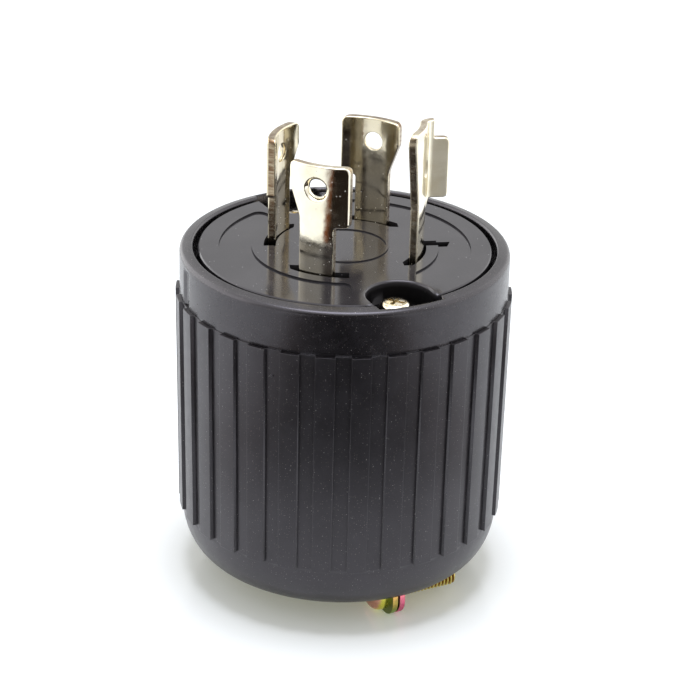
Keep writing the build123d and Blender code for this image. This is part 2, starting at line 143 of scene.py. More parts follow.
def bump(tree, height, depth, before=None):
    # depth is the height of the relief in metres, before the relief under this one
    inputs = {"Height": height, "Distance": depth, "Strength": 1.0}
    if before is not None:
        inputs["Normal"] = before
    return addNode(tree, "ShaderNodeBump", inputs).outputs["Normal"]


def newFinish(name, colour, **constants):
    finish = bpy.data.materials.new(name)
    finish.use_nodes = True
    shader = finish.node_tree.nodes["Principled BSDF"]
    shader.inputs["Base Color"].default_value = colour
    for label, value in constants.items():
        shader.inputs[label.replace("_", " ")].default_value = value
    return finish, finish.node_tree, shader


def wire(tree, shader, **outputs):
    for label, socket in outputs.items():
        tree.links.new(socket, shader.inputs[label.replace("_", " ")])


view = {
    "focalLength": 123.43, "sensor": 36.0, "distance": 418.9176 * mm, "elevation": 22.6631,
    "around": 24.5, "yaw": 0.1795, "pitch": -2.5467, "roll": 1.3764, "aim": (0, 0, 62.6 * mm),
}


def turnPair(first, second, degrees):
    # Turns two unit vectors in their own plane
    c, s = cos(radians(degrees)), sin(radians(degrees))
    return c * first + s * second, c * second - s * first


def placeCamera():
    around, up = radians(view["around"]), radians(view["elevation"])
    side = Vector((cos(around), -sin(around), 0))
    toward = Vector((sin(around) * cos(up), cos(around) * cos(up), -sin(up)))
    place = Vector(view["aim"]) - toward * view["distance"]
    head = side.cross(toward)
    toward, side = turnPair(toward, side, view["yaw"])
    toward, head = turnPair(toward, head, view["pitch"])
    side, head = turnPair(side, head, view["roll"])
    lens = bpy.data.cameras.new("photoCamera")
    lens.lens = view["focalLength"]
    lens.sensor_width = view["sensor"]
    lens.clip_start = 0.01
    camera = addPiece("photoCamera", lens)
    turn = Matrix((side, head, -toward)).transposed().to_4x4()
    camera.matrix_world = Matrix.Translation(place) @ turn
    stageScene.camera = camera


room = {
    "diffuseLight": 0.66, "backdrop": 1.0,
    "darkSide": (0.034, 0.017, 0.008), "darkFrom": 0.80, "darkTo": 0.90, "darkFull": 0.45, "darkGone": 0.75,
    "boxAround": 112.0, "leftBox": 1.9, "rightBox": 0.9, "boxFrom": 0.56, "boxTo": 0.86, "boxFoot": -0.25,
    "upperBox": 1.5, "upperFrom": 0.55, "upperTo": 0.85,
    "overheadBox": (6.4, 6.6, 7.3), "overheadFrom": 0.90, "overheadTo": 0.97,
    "lampHeight": 0.75, "lampSize": 0.30, "lampPower": 3.8,
    "floorColour": (0.87, 0.905, 0.99), "floorRoughness": 0.13, "floorGloss": 0.45, "floorReach": 1.6,
    "floorLift": 0.20, "liftColour": (1.0, 1.0, 0.74), "floorDarkNear": 0.065, "floorDarkFar": 0.095,
    "stripCentre": 0.004, "stripHalf": 0.101, "stripSoft": 0.010, "paintedStripEdge": (0.17, 0.050, 0.008),
    "middleFrom": 0.012, "middleTo": 0.032, "paintedStripMiddle": (0.016, 0.012, 0.010),
}


def sideShare(tree, place, turn, start, stop):
    # 0 to 1 as a direction nears one that lies this many degrees to the left of the camera
    around = radians(view["around"] + turn)
    flat = addNode(tree, "ShaderNodeVectorMath", {0: place, 1: (1, 1, 0)}, operation="MULTIPLY")
    unit = addNode(tree, "ShaderNodeVectorMath", {0: flat.outputs[0]}, operation="NORMALIZE")
    near = dot(tree, unit.outputs[0], (-sin(around), -cos(around), 0))
    return remap(tree, near, start, stop, soft=True)


def lightRoom():
    # White to the camera, plain light on the pieces, and a studio with boxes in what they mirror
    world = bpy.data.worlds.new("studio")
    world.use_nodes = True
    stageScene.world = world
    tree = world.node_tree
    tree.nodes.clear()
    path = addNode(tree, "ShaderNodeLightPath")
    place = addNode(tree, "ShaderNodeTexCoord").outputs["Generated"]
    height = addNode(tree, "ShaderNodeSeparateXYZ", {0: place}).outputs["Z"]
    low = remap(tree, height, room["darkFull"], room["darkGone"], 1.0, 0.0, True)
    front = sideShare(tree, place, 0, room["darkFrom"], room["darkTo"])
    seen = mixColour(tree, maths(tree, "MULTIPLY", front, low), tint(1, 1, 1), tint(*room["darkSide"]))
    for turn, power in ((room["boxAround"], room["leftBox"]), (-room["boxAround"], room["rightBox"])):
        share = sideShare(tree, place, turn, room["boxFrom"], room["boxTo"])
        share = maths(tree, "MULTIPLY", share, remap(tree, height, room["boxFoot"], 0.0))
        seen = mixColour(tree, share, seen, tint(power, power, power), "ADD")
    upper = remap(tree, height, room["upperFrom"], room["upperTo"], soft=True)
    seen = mixColour(tree, upper, seen, tint(*[room["upperBox"]] * 3))
    above = remap(tree, height, room["overheadFrom"], room["overheadTo"], soft=True)
    seen = mixColour(tree, above, seen, tint(*room["overheadBox"]))
    mirror = addNode(tree, "ShaderNodeBackground", {"Color": seen, "Strength": room["backdrop"]})
    plain = addNode(tree, "ShaderNodeBackground", {"Color": tint(1, 1, 1), "Strength": 1.0})
    light = addNode(tree, "ShaderNodeBackground",
                    {"Color": tint(1, 1, 1), "Strength": room["diffuseLight"]})
    shiny = maths(tree, "MAXIMUM", path.outputs["Is Glossy Ray"], path.outputs["Is Transmission Ray"])
    first = addNode(tree, "ShaderNodeMixShader", {0: shiny, 1: light.outputs[0], 2: mirror.outputs[0]})
    last = addNode(tree, "ShaderNodeMixShader",
                   {0: path.outputs["Is Camera Ray"], 1: first.outputs[0], 2: plain.outputs[0]})
    addNode(tree, "ShaderNodeOutputWorld", {"Surface": last.outputs[0]})


def hangLamp():
    lamp = bpy.data.lights.new("overhead", "AREA")
    lamp.shape = "DISK"
    lamp.size = room["lampSize"]
    lamp.energy = room["lampPower"]
    body = addPiece("overhead", lamp)
    body.location = (0, 0, room["lampHeight"])
    body.visible_camera = False
    body.visible_glossy = False


def layFloor():
    reach = room["floorReach"]
    mesh = bpy.data.meshes.new("floor")
    corners = [(-reach, -reach, 0), (reach, -reach, 0), (reach, reach, 0), (-reach, reach, 0)]
    mesh.from_pydata(corners, [], [(0, 1, 2, 3)])
    floor = addPiece("floor", mesh)
    finish, tree, shader = newFinish(
        "paleFloor", tint(*room["floorColour"]), Roughness=room["floorRoughness"],
        Specular_IOR_Level=room["floorGloss"], Emission_Color=tint(*room["liftColour"]))
    path = addNode(tree, "ShaderNodeLightPath")
    seen = maths(tree, "MAXIMUM", path.outputs["Is Camera Ray"], path.outputs["Is Glossy Ray"])
    wire(tree, shader, Emission_Strength=maths(tree, "MULTIPLY", seen, room["floorLift"]))
    # A painted reflection, seen by glossy rays only: a dark strip on the floor, brown at its edges, that
    # runs toward the camera and stands in for the dark front of the room
    place = addNode(tree, "ShaderNodeTexCoord").outputs["Object"]
    away = addNode(tree, "ShaderNodeVectorMath", {0: place}, operation="LENGTH").outputs["Value"]
    far = remap(tree, away, room["floorDarkNear"], room["floorDarkFar"], soft=True)
    around, half = radians(view["around"]), room["stripHalf"]
    side = dot(tree, place, (cos(around), -sin(around), 0))
    ahead = dot(tree, place, (-sin(around), -cos(around), 0))
    offset = maths(tree, "ABSOLUTE", maths(tree, "SUBTRACT", side, room["stripCentre"]))
    within = remap(tree, offset, half, half - room["stripSoft"], soft=True)
    middle = remap(tree, offset, half - room["middleFrom"], half - room["middleTo"], soft=True)
    dark = maths(tree, "MULTIPLY", within, far)
    dark = maths(tree, "MULTIPLY", dark, maths(tree, "GREATER_THAN", ahead, 0))
    dark = maths(tree, "MULTIPLY", dark, path.outputs["Is Glossy Ray"])
    # Painted reflection colours: brown at the strip's edges and near black in its middle
    colour = mixColour(tree, middle, tint(*room["paintedStripEdge"]), tint(*room["paintedStripMiddle"]))
    shade = addNode(tree, "ShaderNodeEmission", {"Color": colour, "Strength": 1.0})
    mixed = addNode(tree, "ShaderNodeMixShader", {0: dark, 1: shader.outputs[0], 2: shade.outputs[0]})
    tree.links.new(mixed.outputs[0], tree.nodes["Material Output"].inputs["Surface"])
    mesh.materials.append(finish)


placeCamera()
lightRoom()
hangLamp()
layFloor()
print("stage set")


def mouldedPlastic(name, colour, roughness, grain, speckShare):
    # Black nylon: fine spark-eroded grain, soft patches and a few pale specks
    finish, tree, shader = newFinish(name, tint(*colour), Specular_IOR_Level=0.68,
                                     Specular_Tint=tint(0.98, 0.93, 1.0))
    darker = tint(*(c * 0.7 for c in colour))
    lighter = tint(*(min(1, c * 1.7 + 0.004) for c in colour))
    body = mixColour(tree, greyRamp(tree, noise(tree, 160, 3.0), [(0.35, 0), (0.7, 1)]), darker, lighter)
    fine = noise(tree, 5200, 2.0, 0.6)
    grains = greyRamp(tree, fine, [(0.45, 0), (0.70, 0.55)])
    body = mixColour(tree, grains, body, tint(*(c * 3.2 for c in colour)))
    body = mixColour(tree, specks(tree, 1500, 0.10, speckShare), body, tint(0.24, 0.23, 0.22))
    body = mixColour(tree, specks(tree, 3000, 0.17, 0.42, 0.7), body, tint(0.12, 0.105, 0.095))
    rough = remap(tree, noise(tree, 700, 3.0), 0.0, 1.0, roughness - 0.06, roughness + 0.08)
    edge = addNode(tree, "ShaderNodeBevel", {"Radius": 0.16 * mm}, samples=6).outputs[0]
    wire(tree, shader, Base_Color=body, Roughness=rough, Normal=bump(tree, fine, grain, edge))
    return finish


def facePlastic():
    # Smoother plastic of the face, with rubbed streaks and dust; its steep walls are rougher, and inside
    # its wells painted shade makes it near black and less glossy
    finish, tree, shader = newFinish("facePlastic", tint(0.030, 0.028, 0.032),
                                     Specular_Tint=tint(0.98, 0.94, 1.0))
    cloud = noise(tree, 90, 4.0, 0.6)
    body = mixColour(tree, greyRamp(tree, cloud, [(0.3, 0), (0.75, 1)]), tint(0.021, 0.020, 0.023),
                     tint(0.040, 0.038, 0.042))
    streaks = greyRamp(tree, noise(tree, 900, 6.0, 0.7, 1.5, (1.0, 0.08, 1.0)), [(0.62, 0), (0.72, 0.5)])
    body = mixColour(tree, streaks, body, tint(0.075, 0.072, 0.078))
    body = mixColour(tree, specks(tree, 1300, 0.11, 0.16, 0.3), body, tint(0.26, 0.26, 0.27))
    steep = remap(tree, facingPart(tree, "Z"), 0.5, 0.25)
    # Painted shade: below the face's top, inside the wells, the colour goes near black and the gloss falls
    deep = remap(tree, placePart(tree, "Z"), 61.7 * mm, 61.0 * mm)
    body = mixColour(tree, maths(tree, "MULTIPLY", deep, 0.85), body, tint(0.003, 0.0028, 0.003))
    rough = maths(tree, "MULTIPLY_ADD", steep, 0.42, remap(tree, cloud, 0.3, 0.7, 0.07, 0.15))
    gloss = maths(tree, "MULTIPLY", maths(tree, "MULTIPLY_ADD", steep, -0.4, 0.5),
                  maths(tree, "MULTIPLY_ADD", deep, -0.75, 1.0))
    relief = bump(tree, noise(tree, 2600, 3.0), 0.8e-6)
    relief = bump(tree, noise(tree, 240, 2.0), 5e-6, relief)
    wire(tree, shader, Base_Color=body, Roughness=rough, Normal=relief, Specular_IOR_Level=gloss)
    return finish


def bladePlating(name, cutEdge=False, aged=False, rubbed=None):
    # Nickel over brass, slightly wavy and pitted; aged plating is browner, and cut edges carry shear lines
    finish, tree, shader = newFinish(name, tint(0.84, 0.79, 0.68), Metallic=1.0)
    stain = greyRamp(tree, noise(tree, 210, 4.0, 0.6, 0.4), [(0.35, 0), (0.7, 1)])
    metal = mixColour(tree, stain, tint(0.93, 0.88, 0.73), tint(0.80, 0.73, 0.55))
    if aged:
        tarnish = greyRamp(tree, noise(tree, 60, 2.0, 0.5, 0.3), [(0.35, 0.45), (0.65, 0.85)])
        metal = mixColour(tree, tarnish, metal, tint(0.50, 0.43, 0.29))
    pits = specks(tree, 1500, 0.13, 0.34)
    metal = mixColour(tree, pits, metal, tint(0.90, 0.88, 0.81))
    rough = remap(tree, noise(tree, 520, 4.0), 0.35, 0.7, 0.07, 0.17)
    if rubbed:
        # The side that faces this way is matt
        facing = dot(tree, addNode(tree, "ShaderNodeNewGeometry").outputs["Normal"], rubbed)
        rough = maths(tree, "ADD", rough, remap(tree, facing, 0.75, 0.95, 0.0, 0.42))
    relief = bump(tree, noise(tree, 330, 2.0), 20e-6)
    relief = bump(tree, noise(tree, 2600, 3.0), 1.6e-6, relief)
    relief = bump(tree, maths(tree, "SUBTRACT", 1.0, pits), 4e-6, relief)
    if cutEdge:
        lines = noise(tree, 2200, 3.0, 0.6, 0.0, (0.12, 0.12, 1.0))
        relief = bump(tree, lines, 5e-6, relief)
        metal = mixColour(tree, greyRamp(tree, lines, [(0.40, 0.45), (0.60, 0.95)]), metal,
                          tint(0.15, 0.085, 0.045) if aged else tint(0.33, 0.25, 0.16))
        rough = maths(tree, "ADD", rough, 0.14)
    wire(tree, shader, Base_Color=metal, Roughness=rough, Normal=relief,
         Metallic=maths(tree, "MULTIPLY_ADD", pits, -0.9, 1.0))
    return finish


def plainMetal(name, pale, deep, roughness, lines=(1, 1, 1)):
    # Plated or bare metal with faint tool marks
    finish, tree, shader = newFinish(name, tint(*pale), Metallic=1.0)
    marks = noise(tree, 900, 4.0, 0.6, 0.2, lines)
    metal = mixColour(tree, greyRamp(tree, marks, [(0.4, 0), (0.7, 1)]), tint(*pale), tint(*deep))
    rough = remap(tree, marks, 0.0, 1.0, roughness - 0.08, roughness + 0.12)
    wire(tree, shader, Base_Color=metal, Roughness=rough, Normal=bump(tree, marks, 3e-6))
    return finish


def softFinish(name, pale, deep, roughness, scale, depth, sheen=0.0):
    # Rubber and fibre board: mottled, grainy and dull
    finish, tree, shader = newFinish(name, tint(*pale), Sheen_Weight=sheen)
    grain = noise(tree, scale, 4.0, 0.7)
    body = mixColour(tree, greyRamp(tree, grain, [(0.35, 0), (0.7, 1)]), tint(*pale), tint(*deep))
    rough = remap(tree, grain, 0.0, 1.0, roughness - 0.08, roughness + 0.1)
    wire(tree, shader, Base_Color=body, Roughness=rough, Normal=bump(tree, grain, depth))
    return finish


def clampZinc(name, face, top, low):
    # Passivated strap: its broad face one colour, its edges running from one to another with height
    finish, tree, shader = newFinish(name, face, Metallic=1.0)
    drift = maths(tree, "SUBTRACT", noise(tree, 420, 3.0, 0.6, 0.8), 0.5)
    level = maths(tree, "MULTIPLY_ADD", drift, 3.2 * mm, placePart(tree, "Z"))
    rim = mixColour(tree, remap(tree, level, 1.6 * mm, 5.4 * mm), low, top)
    broad = remap(tree, maths(tree, "ABSOLUTE", facingPart(tree, "X")), 0.55, 0.9)
    metal = mixColour(tree, broad, rim, face)
    dull = noise(tree, 1400, 3.0)
    metal = mixColour(tree, greyRamp(tree, dull, [(0.5, 0), (0.8, 0.4)]), metal, tint(0.25, 0.2, 0.12))
    wire(tree, shader, Base_Color=metal, Roughness=remap(tree, dull, 0.0, 1.0, 0.2, 0.42),
         Normal=bump(tree, noise(tree, 2200, 3.0), 3e-6))
    return finish


def screwZinc(name, centre, rim, crest, rootShade):
    # Passivated screw: the head pink within a yellow rim, the thread yellow, with painted shade, dark
    # brown, in its roots
    finish, tree, shader = newFinish(name, rim, Metallic=1.0)
    reach, depth, thread = (addNode(tree, "ShaderNodeAttribute", attribute_name=label).outputs["Fac"]
                            for label in ("headReach", "threadDepth", "onThread"))
    drift = noise(tree, 700, 3.0, 0.6, 0.6)
    edge = maths(tree, "ADD", reach, maths(tree, "MULTIPLY", maths(tree, "SUBTRACT", drift, 0.5), 0.5))
    head = mixColour(tree, greyRamp(tree, edge, [(0.66, 0), (0.86, 1)]), centre, rim)
    shank = mixColour(tree, greyRamp(tree, depth, [(0.15, 0), (0.6, 1)]), crest, rootShade)
    metal = mixColour(tree, thread, head, shank)
    wire(tree, shader, Base_Color=metal, Roughness=remap(tree, drift, 0.0, 1.0, 0.16, 0.38),
         Normal=bump(tree, noise(tree, 2600, 3.0), 3e-6))
    return finish


foldTurn = radians(251.95)  # the ground blade's folded edge faces this way
finishes = {
    "body": mouldedPlastic("bodyPlastic", (0.0052, 0.0046, 0.0055), 0.33, 1.8e-6, 0.26),
    "collar": mouldedPlastic("collarPlastic", (0.0060, 0.0054, 0.0062), 0.25, 0.9e-6, 0.12),
    "face": facePlastic(),
    "carrier": mouldedPlastic("carrierPlastic", (0.030, 0.028, 0.029), 0.5, 12e-6, 0.1),
    "board": softFinish("fibreBoard", (0.26, 0.14, 0.08), (0.16, 0.085, 0.05), 0.75, 1600, 20e-6),
    "rubber": softFinish("grommetRubber", (0.022, 0.022, 0.023), (0.036, 0.035, 0.035), 0.72, 2400,
                         12e-6, 0.15),
    "blade": bladePlating("bladePlating"),
    "bladeAged": bladePlating("bladeAgedPlating", aged=True),
    "bladeFolded": bladePlating("bladeFoldedPlating", rubbed=(cos(foldTurn), sin(foldTurn), 0.0)),
    "bladeEdge": bladePlating("bladeCutEdge", True),
    "bladeAgedEdge": bladePlating("bladeAgedCutEdge", True, True),
    "cage": plainMetal("cageBrass", (0.80, 0.61, 0.30), (0.62, 0.44, 0.19), 0.3, (1, 1, 0.1)),
    "plate": plainMetal("plateSteel", (0.62, 0.62, 0.63), (0.45, 0.45, 0.46), 0.35, (0.1, 1, 1)),
    "lineScrew": plainMetal("lineScrewBrass", (0.83, 0.64, 0.29), (0.64, 0.46, 0.18), 0.25),
    "neutralScrew": plainMetal("neutralScrewPlating", (0.76, 0.76, 0.75), (0.58, 0.58, 0.58), 0.22),
    "groundScrew": plainMetal("groundScrewGreen", (0.07, 0.34, 0.14), (0.04, 0.22, 0.09), 0.35),
    "faceScrew": plainMetal("assemblyScrewSteel", (0.95, 0.90, 0.76), (0.62, 0.50, 0.30), 0.14),
    "insert": plainMetal("insertBrass", (0.80, 0.62, 0.31), (0.60, 0.43, 0.19), 0.3),
    "strapGreen": clampZinc("clampZincGreen", tint(0.11, 0.15, 0.035), tint(0.93, 0.46, 0.16),
                            tint(0.22, 0.36, 0.05)),
    "strapPink": clampZinc("clampZincPink", tint(0.45, 0.22, 0.10), tint(0.90, 0.27, 0.28),
                           tint(0.74, 0.12, 0.28)),
    # The last colour is painted shade, dark brown, for the thread's roots
    "clampScrew": screwZinc("clampScrewZinc", tint(0.66, 0.33, 0.25), tint(0.80, 0.76, 0.12),
                            tint(0.88, 0.78, 0.26), tint(0.24, 0.095, 0.012)),
}

nodeFinish = {
    "face_plate": "face", "front_collar": "collar", "rear_housing": "body",
    "terminal_carrier": "carrier", "insulating_disc": "board", "cord_grommet": "rubber",
    "line_blade_x": "blade", "line_blade_y": "blade", "neutral_blade": "blade", "ground_blade": "blade",
    "line_terminal_screws": "lineScrew", "neutral_terminal_screw": "neutralScrew",
    "ground_terminal_screw": "groundScrew", "assembly_screws": "faceScrew",
    "threaded_inserts": "insert", "cord_clamp_left": "strapGreen", "cord_clamp_right": "strapPink",
    "clamp_screws": "clampScrew",
}
for pole in ("x", "y", "neutral", "ground"):
    nodeFinish["terminal_cage_" + pole] = "cage"
    nodeFinish["pressure_plate_" + pole] = "plate"
for nodeName, finishName in nodeFinish.items():
    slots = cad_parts[nodeName].data.materials
    for index in range(len(slots)):
        slots[index] = finishes[finishName]
    if not len(slots):
        slots.append(finishes[finishName])
print("finishes ready")


def settle(piece, nodeNames):
    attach(piece, "root")
    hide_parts(*nodeNames)


housingWall = {"low": 13.2 * mm, "high": 54.2 * mm, "inner": 28.4 * mm, "straight": 0.98, "lean": 0.0085}
upright = 0.9995  # a facet that looks up or down more than this is level


def levelNormals(mesh, wall):
    # Gives the outer wall between two heights normals that point straight out from the axis
    normals = [corner.vector.copy() for corner in mesh.corner_normals]
    for face in mesh.polygons:
        centre = face.center
        out = Vector((centre.x, centre.y, 0))
        if out.length < wall["inner"] or not wall["low"] < centre.z < wall["high"]:
            continue
        if face.normal.dot(out.normalized()) < wall["straight"]:  # a rib's flank
            continue
        for index in face.loop_indices:
            spot = mesh.vertices[mesh.loops[index].vertex_index].co
            normals[index] = Vector((spot.x, spot.y, -wall["lean"] * spot.xy.length)).normalized()
    mesh.normals_split_custom_set(normals)


def levelTops(mesh):
    # Gives every level facet an exactly upright normal
    normals = [corner.vector.copy() for corner in mesh.corner_normals]
    for face in mesh.polygons:
        if abs(face.normal.z) > upright:
            for index in face.loop_indices:
                normals[index] = Vector((0, 0, 1 if face.normal.z > 0 else -1))
    mesh.normals_split_custom_set(normals)


easing = {"join": 2e-6, "flat": radians(0.2), "corner": radians(35), "width": 0.18 * mm, "segments": 2}


def easedCopy(name, nodeName, finishName, bevelled):
    # A joined copy of a node, smooth between its corners, which may be bevelled
    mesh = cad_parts[nodeName].data.copy()
    mesh.name = name
    shape = bmesh.new()
    shape.from_mesh(mesh)
    bmesh.ops.remove_doubles(shape, verts=shape.verts, dist=easing["join"])
    bmesh.ops.dissolve_limit(shape, angle_limit=easing["flat"], verts=shape.verts, edges=shape.edges)
    for face in shape.faces:
        face.smooth = True
    shape.to_mesh(mesh)
    shape.free()
    mesh.materials.clear()
    mesh.materials.append(finishes[finishName])
    mesh.set_sharp_from_angle(angle=easing["corner"])
    piece = addPiece(name, mesh)
    if bevelled:
        ease = piece.modifiers.new("easedEdges", "BEVEL")
        ease.width = easing["width"]
        ease.segments = easing["segments"]
        ease.limit_method = "ANGLE"
        ease.angle_limit = easing["corner"]
        ease.harden_normals = True
        ease.use_clamp_overlap = False
    settle(piece, [nodeName])
    return mesh


levelNormals(easedCopy("rearHousing", "rear_housing", "body", False), housingWall)
levelTops(easedCopy("facePlate", "face_plate", "face", False))
easedCopy("clampStrapLeft", "cord_clamp_left", "strapGreen", True)
easedCopy("clampStrapRight", "cord_clamp_right", "strapPink", True)
print("moulded pieces ready")


collarSizes = {
    "steps": 360, "bottom": 51.3, "seam": 54.2, "ledge": 55.6, "outer": 28.85, "spigot": 26.55,
    "spigotRound": 0.2, "bore": 24.6, "seamRound": [(0.12, 0.0), (0.035, 0.035), (0.0, 0.12)],
    "wallTop": 61.33, "wallRows": 14, "round": 0.85, "roundRows": 9, "shed": 12.0,
    "crown": 26.95, "crest": 62.45, "crownDrop": 0.03, "topRows": 6, "topBend": 1.25,
    "lip": [(0.10, 0.0), (0.22, 0.04), (0.34, 0.15)],
    "rimInner": 26.45, "rimRound": [(0.03, 0.36), (0.0, 0.6)],
    "markAngle": 176.0, "markHalf": 1.35, "markDepth": 0.42, "markTop": 61.3, "markFade": 1.1,
    "markSkin": 0.5, "wells": (90.0, 270.0), "wellHalf": 5.5, "wellFloor": 58.3, "wellSill": 0.04,
    "wellClear": 0.5, "wellReach": 27.65, "wellRound": 0.2,
}
sharpFrom = radians(40)


def collarSection():
    # The collar's section as (radius, height) points, from the bore's foot round by the outside
    c = collarSizes
    outer, spigot, crown, crest, inner = (c[k] for k in ("outer", "spigot", "crown", "crest", "rimInner"))
    bottom, seam, rise, ease = c["bottom"], c["seam"], c["wallTop"], c["spigotRound"]
    section = [(c["bore"], bottom), (spigot - ease, bottom), (spigot, bottom + ease), (spigot, seam)]
    section += [(outer - inset, seam + lift) for inset, lift in c["seamRound"]]
    foot, rows = section[-1][1], c["wallRows"]
    section += [(outer, foot + (rise - foot) * k / rows) for k in range(1, rows)]
    for k in range(c["roundRows"] + 1):
        turn = radians((90 - c["shed"]) * k / c["roundRows"])
        section.append((outer - c["round"] * (1 - cos(turn)), rise + c["round"] * sin(turn)))
    radius, height = section[-1]
    for k in range(1, c["topRows"] + 1):  # the top, which falls outward
        t = k / c["topRows"]
        bent = 1 - (1 - t) ** c["topBend"]
        section.append((radius + (crown - radius) * t, height + (crest - c["crownDrop"] - height) * bent))
    section += [(crown - inset, crest - drop) for inset, drop in c["lip"]]
    section += [(inner + inset, crest - drop) for inset, drop in c["rimRound"]]
    section += [(inner, c["wellFloor"] + c["wellSill"]), (inner, c["wellFloor"]), (inner, c["ledge"]),
                (c["bore"], c["ledge"])]
    return section


def clearedForHead(section):
    # The same section where the rim's inner side is cut back for a screw's head
    c = collarSizes
    reach, bend = c["wellReach"], c["wellRound"]
    slope = [height for radius, height in section if radius >= reach and height > c["wallTop"]]
    low = min(slope[-3:])
    inner = [k for k, (radius, height) in enumerate(section)
             if radius < reach and height > c["wellFloor"] + c["wellClear"]]
    cut = list(section)
    for place, k in enumerate(inner):
        turn = pi / 2 * place / (len(inner) - 1)
        cut[k] = (reach + bend * (1 - sin(turn)), low - bend * (1 - cos(turn)))
    foot = inner[-1] + 1
    cut[foot] = (reach, section[foot][1])
    return cut


def turnedCollar(name):
    # Turns the section round the axis, with a shallow thumb mark pressed into the wall
    c = collarSizes
    plain = collarSection()
    cleared = clearedForHead(plain)
    shape = bmesh.new()
    rings = []
    for step in range(c["steps"]):
        turn = 2 * pi * step / c["steps"]
        fromWells = [turn - radians(well) for well in c["wells"]]
        atWell = any(cos(t) > 0 and abs(c["rimInner"] * sin(t)) < c["wellHalf"] for t in fromWells)
        fromMark = turn - radians(c["markAngle"])
        away = atan2(sin(fromMark), cos(fromMark)) * c["outer"]
        pressed = c["markDepth"] * sqrt(max(0.0, 1 - (away / c["markHalf"]) ** 2))
        ring = []
        for radius, height in cleared if atWell else plain:
            if radius > c["outer"] - c["markSkin"] and height >= c["seam"]:
                fade = min(1.0, max(0.0, (c["markTop"] - height) / c["markFade"]))
                radius -= pressed * fade * fade * (3 - 2 * fade)
            ring.append(shape.verts.new((radius * cos(turn) * mm, radius * sin(turn) * mm, height * mm)))
        rings.append(ring)
    for ring, ahead in zip(rings, rings[1:] + rings[:1]):
        for k in range(len(ring)):
            up = (k + 1) % len(ring)
            shape.faces.new((ring[k], ahead[k], ahead[up], ring[up])).smooth = True
    bmesh.ops.recalc_face_normals(shape, faces=shape.faces[:])
    mesh = bpy.data.meshes.new(name)
    shape.to_mesh(mesh)
    shape.free()
    mesh.set_sharp_from_angle(angle=sharpFrom)
    mesh.materials.append(finishes["collar"])
    return addPiece(name, mesh)


settle(turnedCollar("frontCollar"), ["front_collar"])
print("collar turned")


pressing = {
    "roundSteps": 6, "reachShare": 0.48, "spacing": 0.02, "mitre": 0.6, "easeSteps": 4, "holePoints": 56,
    "cutShift": 0.0137, "near": 1e-4, "evenWeight": 60,
    "flare": [  # how much wider the hole is, at each depth in the sheet
        (0.12, 0.0), (0.04, 0.05), (0.0, 0.14), (0.0, 0.80), (0.03, 0.88), (0.36, 1.30), (0.46, 1.42),
        (0.60, 1.5)],
}
lineBladeSizes = {
    "innerRadius": 12.25, "thickness": 1.5, "shoulderBottom": 51.3, "tabFade": 1.0, "easing": 0.27,
    "outline": [  # across, height, corner radius
        (-4.0, 44.2, 0.3), (4.0, 44.2, 0.3), (4.0, 51.3, 0.2), (6.1, 51.3, 0.2), (6.1, 53.5, 0.2),
        (2.9, 53.5, 0.2), (2.9, 70.8, 0.6), (5.35, 70.8, 0.8), (5.35, 81.6, 1.2), (-5.5, 81.6, 1.2),
        (-5.5, 77.6, 1.8), (-3.4, 72.1, 4.0), (-3.4, 53.5, 0.2), (-6.1, 53.5, 0.2), (-6.1, 51.3, 0.2),
        (-4.0, 51.3, 0.2)],
    "hole": (-0.3, 77.4, 1.65), "cuts": [0.5 * k for k in range(-13, 14)],
}
groundBladeSizes = {
    "middleRadius": 13.0, "thickness": 1.5, "shoulderBottom": 51.3, "tabFade": 1.0, "easing": 0.27,
    "angle": 321.75, "foldAngle": 20.2, "bendRadius": 1.85, "foldAbove": 60.0,
    "outline": [
        (-4.0, 44.2, 0.3), (4.0, 44.2, 0.3), (4.0, 51.3, 0.2), (6.35, 51.3, 0.2), (6.35, 53.5, 0.2),
        (2.72, 53.5, 0.2), (2.72, 67.6, 1.5), (4.75, 71.1, 0.3), (8.45, 71.1, 1.0), (8.45, 82.1, 1.0),
        (5.8, 82.1, 0.2), (5.8, 85.3, 0.3), (-4.6, 85.3, 2.0), (-2.72, 71.6, 6.0), (-2.72, 53.5, 0.2),
        (-6.35, 53.5, 0.2), (-6.35, 51.3, 0.2), (-4.0, 51.3, 0.2)],
    "hole": (2.01, 77.0, 1.65),
    "cuts": [0.5 * k for k in range(-13, 6)] + [2.75 + 0.22 * k for k in range(15)] + [6.5, 7.5],
}


def roundedOutline(corners):
    # Points along a closed outline whose corners are rounded by their own radius
    path, count, steps = [], len(corners), pressing["roundSteps"]
    for index, (across, height, radius) in enumerate(corners):
        here = Vector((across, height))
        back = Vector(corners[index - 1][:2]) - here
        ahead = Vector(corners[(index + 1) % count][:2]) - here
        half = back.angle(ahead) / 2
        longest = min(back.length * pressing["reachShare"], ahead.length * pressing["reachShare"])
        reach = min(radius / max(sin(half) / cos(half), 1e-6), longest)
        start = here + back.normalized() * reach
        end = here + ahead.normalized() * reach
        for step in range(steps + 1):
            t = step / steps
            point = (1 - t) ** 2 * start + 2 * t * (1 - t) * here + t ** 2 * end
            path.append((point.x, point.y))
    return path


def insetLoop(path, distance, outward):
    # Moves each point of a closed loop inward (or outward for a hole) along its own normal
    moved = []
    for index, point in enumerate(path):
        here = Vector(point)
        back = (here - Vector(path[index - 1])).normalized()
        ahead = (Vector(path[(index + 1) % len(path)]) - here).normalized()
        along = (back + ahead).normalized()
        scale = 1 / max(pressing["mitre"], along.dot(ahead))
        normal = Vector((-along.y, along.x)) * scale * (-1 if outward else 1)
        moved.append(tuple(here + normal * distance))
    return moved


